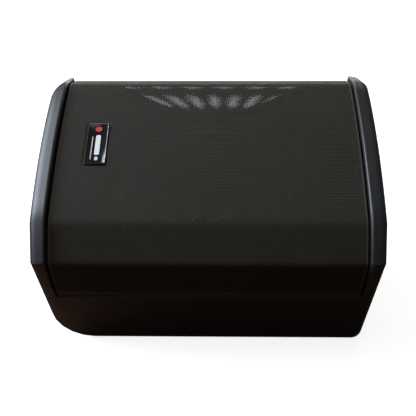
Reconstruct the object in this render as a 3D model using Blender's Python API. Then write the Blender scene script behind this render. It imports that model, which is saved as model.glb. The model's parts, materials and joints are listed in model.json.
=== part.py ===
"""Stage monitor wedge: a moulded loudspeaker lying on its long side behind a folded steel grille.

Metres, +Z up, front towards -Y, origin at the centre of the base. The cabinet is drawn in its own axes:
x along its length, y up its sloping front, z out of the front. Empties carry those axes into the world.
"""

import math

import bmesh
import bpy
from mathutils import Matrix, Vector

# Cabinet section
LEAN = math.radians(28.5)  # slope of the front above the floor
FRONT = 0.378  # height of the front between the near and far walls
CHAMFER_RUN = 0.0495
CHAMFER_RISE = 0.0366
ARCH_RISE = 0.0123
ARCH_STEPS = 10
SEAM = 0.090  # depth of the grille's returns
NEAR_WALL = 0.219
FAR_WALL = 0.140
FLOOR_DEPTH = 0.2314

# Cabinet length and mouldings
HALF_LENGTH = 0.2605
DRAFT = 0.038  # how much the end faces lean in, per metre of depth
WALL = 0.007
LEDGE = 0.003  # how far the walls stand out past the grille's returns
RIM_PROUD = 0.010  # how far the end rims stand out past the grille
RIM_FALL = 0.003  # drop of a rim from its inner to its outer edge
CHANNEL = 0.2358  # half the distance between the rims
ROUND_STEPS = 5
GAP = 0.0004

# Grille and baffle
SHEET = 0.0015
GRILLE_HALF = 0.2326
BAFFLE_HALF = 0.2352
BAFFLE_WALL = 0.008
DISH_FLOOR = -0.078
DISH_RADIUS = 0.189
DISH_SPREAD = 49 / 63  # growth of the dish's radius per metre of height
BADGE = (0.033, 0.083, 0.0016)
BADGE_PLACE = (-0.1735, 0.1907)
BADGE_POCKET = 0.0009

# Loudspeaker
SPEAKER_Y = FRONT / 2
BASKET_RADIUS = 0.155
BASKET_HOLE = 0.142
BOLT_CIRCLE = 0.150
FORMER_RADIUS = 0.0382

# Amplifier panel, in the axes of the rear face
PANEL = (0.240, 0.200, 0.003)
PANEL_HOLE = (0.216, 0.176)
PORT_X = 0.170
PORT_RADIUS = 0.038

# Ends and feet
POLE_PLACE = (0.140, -0.140)
POLE_RADIUS = 0.0183
HANDLE_PLACE = (0.189, -0.150)
HANDLE_CUP = (0.084, 0.150, 0.040)
FOOT_RADIUS = 0.013
FOOT_HEIGHT = 0.004

for old in list(bpy.data.objects):
    bpy.data.objects.remove(old, do_unlink=True)


# Frames


def empty(name, matrix, parent=None):
    made = bpy.data.objects.new(name, None)
    bpy.context.scene.collection.objects.link(made)
    made.parent = parent
    made.matrix_local = matrix
    return made


def axes_at(origin, up, out):
    """A frame whose y is up and whose z is out."""
    up = Vector(up).normalized()
    out = Vector(out).normalized()
    side = up.cross(out)
    turned_axes = Matrix((side, up, out)).transposed().to_4x4()
    return Matrix.Translation(Vector(origin)) @ turned_axes


floor_way = Vector((0, math.cos(LEAN), -math.sin(LEAN)))
near_foot = Vector((0, 0, -NEAR_WALL))
apex = near_foot + FLOOR_DEPTH * floor_way
far_edge = Vector((0, FRONT, -FAR_WALL))
rear_way = (far_edge - apex).normalized()
rear_out = Vector((0, rear_way.z, -rear_way.y))
world_down = Vector((0, -math.sin(LEAN), -math.cos(LEAN)))


def end_plane(z):
    """Half length of the cabinet at a height, on its drafted end faces."""
    return HALF_LENGTH + (z - 0.020) * DRAFT


cabinet = empty("cabinet_axes", Matrix.Rotation(LEAN, 4, "X"))
rear = empty("rear_axes", axes_at((apex + far_edge) / 2, rear_way, rear_out), cabinet)
floor = empty("floor_axes", axes_at((near_foot + apex) / 2, floor_way, world_down), cabinet)
left_end = empty(
    "left_end_axes",
    axes_at((-end_plane(POLE_PLACE[1]), *POLE_PLACE), (0, 1, 0), (-1, 0, -DRAFT)),
    cabinet,
)
right_end = empty(
    "right_end_axes",
    axes_at((end_plane(HANDLE_PLACE[1]), *HANDLE_PLACE), (0, 1, 0), (1, 0, -DRAFT)),
    cabinet,
)
speaker = empty("speaker_axes", Matrix.Translation((0, SPEAKER_Y, 0)), cabinet)


# Materials


def finish(name, colour, roughness, metallic=0.0):
    made = bpy.data.materials.new(name)
    made.use_nodes = True
    shader = made.node_tree.nodes["Principled BSDF"]
    shader.inputs["Base Color"].default_value = (*colour, 1)
    shader.inputs["Roughness"].default_value = roughness
    shader.inputs["Metallic"].default_value = metallic
    return made


moulding = finish("moulding", (0.022, 0.023, 0.026), 0.5)
grille_paint = finish("grille_paint", (0.020, 0.020, 0.021), 0.45, 0.3)
gloss_black = finish("gloss_black", (0.010, 0.010, 0.011), 0.12)
rubber = finish("rubber", (0.015, 0.015, 0.015), 0.85)
black_metal = finish("black_metal", (0.03, 0.03, 0.03), 0.4, 0.8)
bare_steel = finish("bare_steel", (0.45, 0.45, 0.46), 0.35, 1.0)
paper = finish("paper", (0.03, 0.03, 0.032), 0.8)
ferrite = finish("ferrite", (0.05, 0.05, 0.055), 0.6)
board_green = finish("board_green", (0.02, 0.12, 0.05), 0.5)
copper = finish("copper", (0.6, 0.28, 0.12), 0.35, 1.0)
amber_cloth = finish("amber_cloth", (0.55, 0.38, 0.16), 0.85)
lens_blue = finish("lens_blue", (0.05, 0.2, 0.7), 0.15)
knob_grey = finish("knob_grey", (0.06, 0.06, 0.065), 0.45)


# Making pieces


def piece(name, mesh_maker, material, frame, smooth=None):
    """One object from a finished bmesh, in the axes of a frame."""
    data = bpy.data.meshes.new(name)
    bmesh.ops.recalc_face_normals(mesh_maker, faces=mesh_maker.faces)
    mesh_maker.to_mesh(data)
    mesh_maker.free()
    if material:
        data.materials.append(material)
    if smooth:
        data.shade_smooth()
        data.set_sharp_from_angle(angle=math.radians(smooth))
    made = bpy.data.objects.new(name, data)
    bpy.context.scene.collection.objects.link(made)
    made.parent = frame
    return made


def cut_by(target, cutter):
    cutter.hide_render = True
    cutter.display_type = "WIRE"
    cut = target.modifiers.new("cut_" + cutter.name, "BOOLEAN")
    cut.operation = "DIFFERENCE"
    cut.object = cutter


def joined_with(target, other):
    cut_by(target, other)
    target.modifiers[-1].operation = "UNION"


def block(size, centre, shape=None):
    shape = shape or bmesh.new()
    place = Matrix.Translation(Vector(centre)) @ Matrix.Diagonal((*size, 1))
    bmesh.ops.create_cube(shape, size=1, matrix=place)
    return shape


def rod(radius, low, high, centre=(0, 0), sides=32, top_radius=None, shape=None):
    """A cylinder or cone frustum along z."""
    shape = shape or bmesh.new()
    place = Matrix.Translation((*centre, (low + high) / 2))
    bmesh.ops.create_cone(
        shape,
        cap_ends=True,
        segments=sides,
        radius1=radius,
        radius2=radius if top_radius is None else top_radius,
        depth=high - low,
        matrix=place,
    )
    return shape


def turned(profile, sides=32):
    """A closed outline of (radius, z) points, spun about z."""
    shape = bmesh.new()
    points = [shape.verts.new((radius, 0, z)) for radius, z in profile]
    edges = [shape.edges.new((a, b)) for a, b in zip(points, points[1:])]
    if profile[0][0] or profile[-1][0]:
        edges.append(shape.edges.new((points[-1], points[0])))
    bmesh.ops.spin(
        shape,
        geom=points + edges,
        cent=(0, 0, 0),
        axis=(0, 0, 1),
        angle=math.tau,
        steps=sides,
        use_duplicate=False,
    )
    bmesh.ops.remove_doubles(shape, verts=shape.verts, dist=1e-6)
    return shape


def extruded(outline, half_length):
    """A closed outline of (y, z) points, extruded along x both ways."""
    shape = bmesh.new()
    face = shape.faces.new([shape.verts.new((-half_length, y, z)) for y, z in outline])
    grown = bmesh.ops.extrude_face_region(shape, geom=[face])
    moved = [part for part in grown["geom"] if isinstance(part, bmesh.types.BMVert)]
    bmesh.ops.translate(shape, verts=moved, vec=(2 * half_length, 0, 0))
    return shape


def lofted(loops):
    """A closed skin through loops of equal length, with a face at each end."""
    shape = bmesh.new()
    rings = [[shape.verts.new(point) for point in loop] for loop in loops]
    for one, two in zip(rings, rings[1:]):
        for i, start in enumerate(one):
            j = (i + 1) % len(one)
            shape.faces.new((start, one[j], two[j], two[i]))
    shape.faces.new(rings[0])
    shape.faces.new(rings[-1])
    return shape


# Section outline


def arch(steps):
    """The front's shallow arch between its two chamfers."""
    half = FRONT / 2 - CHAMFER_RUN
    radius = (half**2 + ARCH_RISE**2) / (2 * ARCH_RISE)
    reach = math.asin(half / radius)
    points = []
    for step in range(steps + 1):
        turn = reach * (2 * step / steps - 1)
        rise = radius * (math.cos(turn) - math.cos(reach))
        points.append((FRONT / 2 + radius * math.sin(turn), CHAMFER_RISE + rise))
    return points


def offset(points, amounts):
    """The outline with each edge moved out by its own amount."""
    moved = []
    count = len(points)
    for i, (y, z) in enumerate(points):
        lines = []
        for edge in ((i - 1) % count, i):
            ahead = points[(edge + 1) % count]
            way = Vector((ahead[0] - points[edge][0], ahead[1] - points[edge][1])).normalized()
            out = Vector((-way.y, way.x))
            lines.append((out, out.dot((y, z)) + amounts[edge]))
        (one, far_one), (two, far_two) = lines
        crossing = one.x * two.y - one.y * two.x
        if abs(crossing) < 1e-5:
            moved.append((y + one.x * amounts[i], z + one.y * amounts[i]))
        else:
            new_y = (far_one * two.y - far_two * one.y) / crossing
            new_z = (far_two * one.x - far_one * two.x) / crossing
            moved.append((new_y, new_z))
    return moved


FOLDS = [(0, 0), *arch(ARCH_STEPS), (FRONT, 0)]
SECTION = [(0, -NEAR_WALL), *FOLDS, far_edge.yz[:], apex.yz[:]]


def per_edge(near, chamfer, face, far_chamfer, far, back, base):
    """One value for each edge of the section, in its order."""
    return [near, chamfer, *[face] * ARCH_STEPS, far_chamfer, far, back, base]


def end_loops(outline, amounts, radii, wall, sign):
    """Loops that round an outline over to an end face, starting at the face."""
    loops = []
    for step in range(ROUND_STEPS + 1):
        turn = math.radians(90) * step / ROUND_STEPS
        inset = [a - r * (1 - math.sin(turn)) for a, r in zip(amounts, radii)]
        loop = []
        for i, (y, z) in enumerate(offset(outline, inset)):
            radius = max(radii[i - 1], radii[i])
            x = end_plane(z) - wall - radius * (1 - math.cos(turn))
            loop.append((sign * x, y, z))
        loops.append(loop)
    return loops


# Cabinet shell: walls, ends and rims in one moulding


def cabinet_shell():
    low_rim = RIM_PROUD - RIM_FALL
    at_ends = per_edge(LEDGE, low_rim, low_rim, low_rim, LEDGE, 0, 0)
    at_channel = per_edge(LEDGE, RIM_PROUD, RIM_PROUD, RIM_PROUD, LEDGE, 0, 0)
    left_radii = per_edge(0.010, 0.014, 0.014, 0.028, 0.024, 0.030, 0.060)
    right_radii = per_edge(0.010, 0.013, 0.013, 0.016, 0.014, 0.014, 0.016)
    middle = offset(SECTION, at_channel)
    left = end_loops(SECTION, at_ends, left_radii, 0, -1)
    right = end_loops(SECTION, at_ends, right_radii, 0, 1)
    for sign, loops in ((-1, left), (1, right)):
        starts = [min(CHANNEL, abs(x)) - 0.004 for x, y, z in loops[-1]]
        loops.append([(sign * x, y, z) for x, (y, z) in zip(starts, middle)])
    shell = piece("cabinet_shell", lofted(left + right[::-1]), moulding, cabinet, 30)

    channel_depth = SEAM + 0.100
    channel_size = (2 * CHANNEL, FRONT + 0.100, channel_depth)
    channel_centre = (0, FRONT / 2, channel_depth / 2 - SEAM)
    cut_by(shell, piece("channel_cutter", block(channel_size, channel_centre), None, cabinet))

    room = [(0, -NEAR_WALL), (0, -0.080), (FRONT, -0.080), far_edge.yz[:], apex.yz[:]]
    inner = LEDGE - WALL
    amounts = [inner, 0, inner, -WALL, -WALL]
    left_room = end_loops(room, amounts, [0.006, 0.006, 0.018, 0.024, 0.053], WALL, -1)
    right_room = end_loops(room, amounts, [0.006, 0.006, 0.008, 0.008, 0.010], WALL, 1)
    room_loops = left_room + list(reversed(right_room))
    cut_by(shell, piece("room_cutter", lofted(room_loops), None, cabinet))

    cut_by(shell, piece("panel_hole", block((*PANEL_HOLE, 0.04), (0, 0, 0)), None, rear))
    for side in (-1, 1):
        hole = rod(PORT_RADIUS + GAP, -0.02, 0.02, (side * PORT_X, 0), 48)
        cut_by(shell, piece(f"port_hole_{side}", hole, None, rear))
    pole_hole = rod(0.0244, -0.02, 0.02, sides=48)
    cut_by(shell, piece("pole_hole", pole_hole, None, left_end))
    handle_hole = block((HANDLE_CUP[0] + 0.0068, HANDLE_CUP[1] + 0.0068, 0.04), (0, 0, 0))
    cut_by(shell, piece("handle_hole", handle_hole, None, right_end))


cabinet_shell()


# Grille: one folded sheet, and its badge


def front_outline(inset):
    """The grille's outer outline, or a line inside it, closed along its open edge."""
    bottom = -SEAM + GAP
    outline = [(0, bottom), *FOLDS, (FRONT, bottom)]
    return offset(outline, [-inset] * (len(outline) - 1) + [0])


def badge_axes():
    """A frame on the arch under the badge's middle."""
    half = FRONT / 2 - CHAMFER_RUN
    radius = (half**2 + ARCH_RISE**2) / (2 * ARCH_RISE)
    reach = math.asin(half / radius)
    turn = math.asin((BADGE_PLACE[1] - FRONT / 2) / radius)
    height = CHAMFER_RISE + radius * (math.cos(turn) - math.cos(reach))
    place = (BADGE_PLACE[0], BADGE_PLACE[1], height)
    up = (0, math.cos(turn), -math.sin(turn))
    out = (0, math.sin(turn), math.cos(turn))
    return empty("badge_axes", axes_at(place, up, out), cabinet)


def grille():
    outer = front_outline(0)
    inner = front_outline(SHEET)
    sheet = piece("grille", extruded(outer + inner[::-1], GRILLE_HALF), grille_paint, cabinet, 25)
    badge_frame = badge_axes()
    pocket = block((BADGE[0] + 0.003, BADGE[1] + 0.003, 0.02), (0, 0, 0.01 - BADGE_POCKET))
    cut_by(sheet, piece("badge_pocket", pocket, None, badge_frame))
    plate = block(BADGE, (0, 0, BADGE[2] / 2 + GAP - BADGE_POCKET + 0.0004))
    piece("badge_plate", plate, gloss_black, badge_frame)


grille()


# Front baffle: a dished moulding under the grille


def baffle():
    def dish(extra, name):
        low = DISH_FLOOR - extra
        high = 0.070
        top = DISH_RADIUS + extra + (high - low) * DISH_SPREAD
        shape = rod(DISH_RADIUS + extra, low, high, sides=72, top_radius=top)
        return piece(name, shape, None, speaker)

    outline = front_outline(SHEET + 0.0005)
    front = piece("front_baffle", extruded(outline, BAFFLE_HALF), moulding, cabinet, 30)
    cut_by(front, dish(0, "dish_cutter"))
    inside = front_outline(SHEET + 0.0005 + BAFFLE_WALL)
    bottom = [(inside[-1][0], -SEAM - 0.02), (inside[0][0], -SEAM - 0.02)]
    hollow = extruded([*inside, *bottom], BAFFLE_HALF - BAFFLE_WALL)
    hollow_cutter = piece("hollow_cutter", hollow, None, cabinet)
    cut_by(hollow_cutter, dish(BAFFLE_WALL, "dish_back"))
    cut_by(front, hollow_cutter)
    speaker_hole = rod(BASKET_HOLE, -0.12, 0, sides=64)
    cut_by(front, piece("speaker_hole", speaker_hole, None, speaker))
    return front


front_baffle = baffle()


# Woofer, with the horn and compression driver on the same axis


def woofer():
    seat = DISH_FLOOR + GAP
    flange = seat + 0.0056
    basket_outline = [
        (BASKET_RADIUS, flange),
        (BASKET_RADIUS, seat),
        (0.1405, seat),
        (0.136, seat - 0.012),
        (0.064, -0.160),
        (0.064, -0.166),
        (0.040, -0.166),
        (0.040, -0.162),
        (0.060, -0.162),
        (0.133, seat - 0.010),
        (0.135, flange),
    ]
    basket = piece("woofer_basket", turned(basket_outline, 40), black_metal, speaker, 30)
    for turn in (45, 135):
        window = block((0.290, 0.074, 0.046), (0, 0, 0))
        cutter = piece(f"window_cutter_{turn}", window, None, speaker)
        cutter.location = (0, 0, -0.121)
        cutter.rotation_euler = (0, 0, math.radians(turn))
        cut_by(basket, cutter)

    bolt_holes = bmesh.new()
    for quarter in range(4):
        turn = math.radians(90 * quarter)
        place = (BOLT_CIRCLE * math.cos(turn), BOLT_CIRCLE * math.sin(turn))
        rod(0.0027, -0.12, -0.03, place, 16, shape=bolt_holes)
        bolt = turned(
            [
                (0, flange + 0.0036),
                (0.0032, flange + 0.0036),
                (0.0044, flange + 0.0024),
                (0.0044, flange + GAP),
                (0.0023, flange + GAP),
                (0.0023, flange - 0.018),
                (0, flange - 0.018),
            ],
            12,
        )
        made = piece(f"woofer_bolt_{quarter + 1}", bolt, bare_steel, speaker, 30)
        made.location = (*place, 0)
    holes = piece("bolt_hole_cutter", bolt_holes, None, speaker)
    cut_by(basket, holes)
    cut_by(front_baffle, holes)

    ring = [
        (0.1452, flange + 0.003),
        (0.1452, flange + GAP),
        (0.1425, flange + GAP),
        (0.1425, flange + 0.003),
    ]
    piece("woofer_gasket", turned(ring, 40), rubber, speaker, 30)

    surround(flange)
    cone_top = flange - 0.0006
    cone_outline = [
        (0.1125, cone_top),
        (0.1125, cone_top - 0.0014),
        (0.0392, -0.1206),
        (0.0392, -0.1190),
    ]
    piece("woofer_cone", turned(cone_outline, 40), paper, speaker, 30)
    former = [
        (FORMER_RADIUS, -0.1195),
        (FORMER_RADIUS, -0.1840),
        (FORMER_RADIUS - 0.0011, -0.1840),
        (FORMER_RADIUS - 0.0011, -0.1195),
    ]
    piece("voice_coil_former", turned(former, 32), copper, speaker, 30)
    spider()
    motor()


def surround(flange):
    """The half roll of rubber between the cone and the basket."""
    land = flange + GAP
    thick = 0.0011
    roll_centre = 0.124
    roll_radius = 0.010
    outside = [(0.142, land + thick)]
    inside = [(0.142, land)]
    for step in range(7):
        turn = math.pi * step / 6
        way = (math.cos(turn), math.sin(turn))
        outside.append((roll_centre + roll_radius * way[0], land + thick + roll_radius * 0.8 * way[1]))
        inner = roll_radius - thick
        inside.append((roll_centre + inner * way[0], land + inner * 0.8 * way[1]))
    outside.append((0.1085, land + thick))
    inside.append((0.1085, land))
    piece("woofer_surround", turned(outside + inside[::-1], 40), rubber, speaker, 40)


def spider():
    """The corrugated cloth disc that centres the coil former."""
    inner, outer, level, thick = 0.0388, 0.084, -0.135, 0.0008
    count = 14
    top = []
    for step in range(count + 1):
        radius = inner + (outer - inner) * step / count
        wave = 0.0016 * (-1) ** step
        top.append((radius, level + wave))
    under = [(radius, z - thick) for radius, z in reversed(top)]
    piece("spider", turned(top + under, 28), amber_cloth, speaker, 40)


def motor():
    """Top plate, magnet, back plate with its pole, horn and compression driver."""
    top_plate = [(0.060, -0.1664), (0.060, -0.174), (0.0395, -0.174), (0.0395, -0.1664)]
    piece("magnet_top_plate", turned(top_plate), bare_steel, speaker, 30)
    magnet = [(0.060, -0.1744), (0.060, -0.192), (0.045, -0.192), (0.045, -0.1744)]
    piece("magnet_ring", turned(magnet), ferrite, speaker, 30)
    back_plate = [
        (0.0358, -0.167),
        (0.0358, -0.1924),
        (0.060, -0.1924),
        (0.060, -0.200),
        (0.0125, -0.200),
        (0.0125, -0.167),
    ]
    piece("magnet_back_plate", turned(back_plate), bare_steel, speaker, 30)
    horn_outside = [(0.0300, -0.1666), (0.0300, -0.119), (0.035, -0.110), (0.042, -0.100), (0.052, -0.085)]
    horn_inside = [(0.050, -0.085), (0.040, -0.100), (0.033, -0.110), (0.026, -0.122), (0.0127, -0.1666)]
    piece("horn", turned(horn_outside + horn_inside), moulding, speaker, 40)
    driver = [
        (0, -0.238),
        (0.034, -0.238),
        (0.042, -0.230),
        (0.042, -0.2004),
        (0.0125, -0.2004),
        (0.0125, -0.208),
        (0, -0.212),
    ]
    piece("compression_driver", turned(driver), ferrite, speaker, 30)


woofer()


# Ports and the amplifier panel, on the rear face


def ports():
    for side, name in ((1, "port_tube_left"), (-1, "port_tube_right")):
        tube = [
            (PORT_RADIUS + 0.010, GAP),
            (PORT_RADIUS, GAP),
            (PORT_RADIUS, -0.090),
            (PORT_RADIUS - 0.003, -0.090),
            (PORT_RADIUS - 0.003, -0.008),
            (PORT_RADIUS - 0.001, -0.001),
            (PORT_RADIUS + 0.003, 0.0032),
            (PORT_RADIUS + 0.009, 0.0032),
            (PORT_RADIUS + 0.010, 0.0022),
        ]
        made = piece(name, turned(tube, 24), moulding, rear, 30)
        made.location = (side * PORT_X, 0, 0)


FACE = PANEL[2] + GAP  # height of the panel's outer face
KNOBS = {"knob_input_a": -0.080, "knob_input_b": -0.035, "knob_bass": 0.010, "knob_treble": 0.050}
KNOB_ROW = 0.078
SOCKETS = {"input_socket_a": -0.080, "input_socket_b": -0.035, "link_socket": 0.010}
SOCKET_ROW = 0.028
LATCH_Y = 0.0120  # height of a latch button above its socket's middle
INLET_PLACE = (0.070, 0.000)
INLET_DROP = 0.0043  # the inlet's body reaches further down than up, round the fuse drawer
SWITCH_PLACE = (0.092, 0.052)
LED_PLACE = (0.100, 0.080)
ROCKER_TILT = math.radians(8)


def amplifier_panel():
    middle = GAP + PANEL[2] / 2
    panel = piece("amp_panel", block(PANEL, (0, 0, middle)), black_metal, rear)
    holes = bmesh.new()
    for x in KNOBS.values():
        rod(0.0036, -0.01, 0.02, (x, KNOB_ROW), 16, shape=holes)
    for x in SOCKETS.values():
        rod(0.0122, -0.01, 0.02, (x, SOCKET_ROW), 32, shape=holes)
    latch_holes = bmesh.new()
    for x in (SOCKETS["input_socket_a"], SOCKETS["input_socket_b"]):
        block((0.0084, 0.0052, 0.03), (x, SOCKET_ROW + LATCH_Y, 0.005), latch_holes)
    cut_by(panel, piece("latch_cutter", latch_holes, None, rear))
    rod(0.0026, -0.01, 0.02, LED_PLACE, 16, shape=holes)
    block((0.0282, 0.0298, 0.03), (INLET_PLACE[0], INLET_PLACE[1] - INLET_DROP, 0.005), holes)
    block((0.0142, 0.0204, 0.03), (*SWITCH_PLACE, 0.005), holes)
    cut_by(panel, piece("panel_cutter", holes, None, rear))
    heat_sink()
    for name, x in KNOBS.items():
        knob(name, x)
    for name, x in SOCKETS.items():
        socket(name, x)
    control_board()
    mains_inlet()
    power_switch()
    indicator()
    panel_screws()
    transformer()


def heat_sink():
    """A comb of fins in one extrusion, standing on the panel."""
    fins, pitch, thick, base, height = 12, 0.0182, 0.0026, 0.004, 0.024
    level = FACE + GAP
    width = (fins - 1) * pitch + thick
    outline = [(-width / 2, level)]
    for fin in range(fins):
        left = -width / 2 + fin * pitch
        outline += [(left, level + height), (left + thick, level + height)]
        if fin < fins - 1:
            outline += [(left + thick, level + base), (left + pitch, level + base)]
    outline += [(width / 2, level)]
    shape = bmesh.new()
    face = shape.faces.new([shape.verts.new((x, -0.088, z)) for x, z in outline])
    grown = bmesh.ops.extrude_face_region(shape, geom=[face])
    moved = [part for part in grown["geom"] if isinstance(part, bmesh.types.BMVert)]
    bmesh.ops.translate(shape, verts=moved, vec=(0, 0.054, 0))
    piece("heat_sink", shape, black_metal, rear)


def knob(name, x):
    """A control knob with its shaft, pointing up at rest."""
    profile = [
        (0, FACE + 0.0150),
        (0.0066, FACE + 0.0150),
        (0.0078, FACE + 0.0138),
        (0.0086, FACE + 0.0008),
        (0.0030, FACE + 0.0008),
        (0.0030, -0.0066),
        (0, -0.0066),
    ]
    made = piece(name, turned(profile, 24), knob_grey, rear, 30)
    made.location = (x, KNOB_ROW, 0)
    pointer = piece(
        name + "_pointer_cutter", block((0.0012, 0.007, 0.002), (0, 0.005, FACE + 0.0150)), None, rear
    )
    pointer.location = (x, KNOB_ROW, 0)
    cut_by(made, pointer)


def socket(name, x):
    """A chassis connector: flange, round body behind the panel, and an open barrel."""
    low = FACE + GAP
    body = piece(name, block((0.026, 0.031, 0.0022), (0, 0, low + 0.0011)), black_metal, rear)
    body.location = (x, SOCKET_ROW, 0)
    barrel = piece(name + "_barrel", rod(0.0118, -0.020, low + 0.001), None, rear)
    bore = piece(name + "_bore", rod(0.0096, -0.017, 0.02), None, rear)
    for helper in (barrel, bore):
        helper.location = body.location
    joined_with(body, barrel)
    cut_by(body, bore)
    if name == "link_socket":
        return
    slot = piece(name + "_slot", block((0.0076, 0.0044, 0.02), (0, LATCH_Y, 0.005)), None, rear)
    slot.location = body.location
    cut_by(body, slot)
    latch = block((0.0068, 0.0036, 0.0058), (0, LATCH_Y, low + 0.0017))
    made = piece(name.replace("socket", "latch"), latch, bare_steel, rear)
    made.location = body.location


def control_board():
    """The circuit board behind the knobs, with one pot body for each knob."""
    board = piece("control_board", block((0.170, 0.040, 0.0016), (0, 0, 0)), board_green, rear)
    board.location = (-0.015, KNOB_ROW - 0.006, -0.019)
    for name, x in KNOBS.items():
        pot = piece(name + "_pot", block((0.014, 0.014, 0.0125), (0, 0, -0.0132)), None, rear)
        pot.location = (x, KNOB_ROW, 0)
        joined_with(board, pot)


def mains_inlet():
    """The mains inlet: three contacts in a cavity, and a pocket below for the fuse drawer."""
    low = FACE + GAP
    inlet = piece("mains_inlet", block((0.048, 0.042, 0.0024), (0, 0, low + 0.0012)), gloss_black, rear)
    inlet.location = (*INLET_PLACE, 0)
    body = block((0.0274, 0.0290, 0.026), (0, -INLET_DROP, low + 0.001 - 0.013))
    cavity = block((0.0240, 0.0160, 0.030), (0, 0, low))
    pocket = block((0.0260, 0.0066, 0.036), (0, -0.0148, low))
    contacts = bmesh.new()
    for x, y in ((0, 0.0035), (-0.007, -0.0035), (0.007, -0.0035)):
        block((0.0020, 0.0040, 0.016), (x, y, low - 0.0085), contacts)
    helpers = {}
    shapes = {"body": body, "cavity": cavity, "pocket": pocket, "contacts": contacts}
    for name, shape in shapes.items():
        helpers[name] = piece("inlet_" + name, shape, None, rear)
        helpers[name].location = inlet.location
    joined_with(inlet, helpers["body"])
    cut_by(inlet, helpers["cavity"])
    cut_by(inlet, helpers["pocket"])
    joined_with(inlet, helpers["contacts"])
    drawer_shape = block((0.0252, 0.0058, 0.0210), (0, 0, low - 0.0065))
    drawer = piece("fuse_drawer", drawer_shape, gloss_black, rear)
    drawer.location = (INLET_PLACE[0], INLET_PLACE[1] - 0.0148, 0)


def power_switch():
    """A rocker that turns about a pin across its housing."""
    low = FACE + GAP
    bezel = block((0.018, 0.026, 0.0024), (0, 0, low + 0.0012))
    housing = piece("switch_housing", bezel, gloss_black, rear)
    housing.location = (*SWITCH_PLACE, 0)
    body = piece("switch_body", block((0.0134, 0.0196, 0.020), (0, 0, low - 0.009)), None, rear)
    hollow = block((0.0106, 0.0168, 0.030), (0, 0, low + 0.007))
    cavity = piece("switch_cavity", hollow, None, rear)
    for helper in (body, cavity):
        helper.location = housing.location
    joined_with(housing, body)
    cut_by(housing, cavity)
    outline = [
        (-0.0074, 0.0036),
        (0, 0.0026),
        (0.0074, 0.0036),
        (0.0068, -0.0026),
        (-0.0068, -0.0026),
    ]
    rocker = piece("power_rocker", extruded(outline, 0.0048), gloss_black, rear)
    rocker.location = (*SWITCH_PLACE, low)
    rocker.rotation_euler = (ROCKER_TILT, 0, 0)


def indicator():
    lens = [
        (0, FACE + 0.0030),
        (0.0020, FACE + 0.0022),
        (0.0030, FACE + 0.0004),
        (0.0022, FACE + 0.0004),
        (0.0022, -0.004),
        (0, -0.004),
    ]
    made = piece("power_led", turned(lens, 16), lens_blue, rear, 40)
    made.location = (*LED_PLACE, 0)


def screw(name, frame, place, level, radius=0.0038):
    head = [
        (0, level + 0.0020),
        (radius * 0.6, level + 0.0020),
        (radius, level + 0.0009),
        (radius, level),
        (0, level),
    ]
    made = piece(name, turned(head, 12), bare_steel, frame, 30)
    made.location = (*place, 0)
    drive = piece(name + "_drive", block((0.0046, 0.0010, 0.002), (0, 0, level + 0.0020)), None, frame)
    drive.location = made.location
    cut_by(made, drive)
    return made


def panel_screws():
    number = 0
    for y in (-0.095, 0.095):
        for x in (-0.114, 0, 0.114):
            number += 1
            screw(f"panel_screw_{number}", rear, (x, y), FACE + GAP, 0.0034)


def transformer():
    """A toroidal transformer on the inside of the panel."""
    ring = [
        (0.034, -0.006),
        (0.038, -0.010),
        (0.038, -0.032),
        (0.034, -0.036),
        (0.014, -0.036),
        (0.010, -0.032),
        (0.010, -0.010),
        (0.014, -0.006),
    ]
    made = piece("toroid_transformer", turned(ring, 28), copper, rear, 30)
    made.location = (-0.064, -0.046, 0)


ports()
amplifier_panel()


# Ends: pole socket, handle, feet, and the grille's screws


def pole_socket():
    cup = [
        (0, -0.085),
        (0.0240, -0.085),
        (0.0240, GAP),
        (0.0380, GAP),
        (0.0380, 0.0022),
        (0.0370, 0.0030),
        (POLE_RADIUS, 0.0030),
        (POLE_RADIUS, -0.080),
        (0, -0.080),
    ]
    piece("pole_socket", turned(cup, 32), moulding, left_end, 30)


def handle():
    wide, tall, deep = HANDLE_CUP
    wall = 0.003
    size = (wide + 2 * wall, tall + 2 * wall, deep + wall)
    cup = piece("handle_cup", block(size, (0, 0, GAP + 0.001 - size[2] / 2)), moulding, right_end)
    flange = block((wide + 0.022, tall + 0.022, 0.0026), (0, 0, GAP + 0.0013))
    joined_with(cup, piece("handle_flange", flange, None, right_end))
    pocket = block((wide, tall, deep), (0, 0, 0.0032 - deep / 2))
    cut_by(cup, piece("handle_pocket", pocket, None, right_end))
    bar = rod(0.0115, -tall / 2 + GAP, tall / 2 - GAP, sides=32)
    made = piece("handle_bar", bar, rubber, right_end, 30)
    made.location = (0, 0, -0.0125)
    made.rotation_euler = (math.radians(90), 0, 0)


def feet():
    number = 0
    for x in (-0.215, 0.172):
        for y in (-0.078, 0.078):
            number += 1
            pad = [
                (0, GAP),
                (FOOT_RADIUS, GAP),
                (FOOT_RADIUS, FOOT_HEIGHT - 0.0006),
                (FOOT_RADIUS - 0.001, FOOT_HEIGHT + GAP),
                (0, FOOT_HEIGHT + GAP),
            ]
            made = piece(f"floor_foot_{number}", turned(pad, 20), rubber, floor, 30)
            made.location = (x, y, 0)
    for name, along, across in (("end_foot_front", 0.055, 0.132), ("end_foot_rear", 0.030, -0.055)):
        strip = piece(name, block((0.014, 0.140, 0.003), (across, along, GAP + 0.0015)), rubber, left_end)
        strip.modifiers.new("soft_edges", "BEVEL").width = 0.0008


def grille_screws():
    screw_row = empty("far_return_axes", axes_at((0, FRONT, -0.084), (0, 0, 1), (0, 1, 0)), cabinet)
    for number, x in enumerate((-0.200, 0, 0.200), 1):
        screw(f"grille_screw_{number}", screw_row, (x, 0), GAP, 0.0036)


pole_socket()
handle()
feet()
grille_screws()


# The origin: the middle of the base


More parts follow.
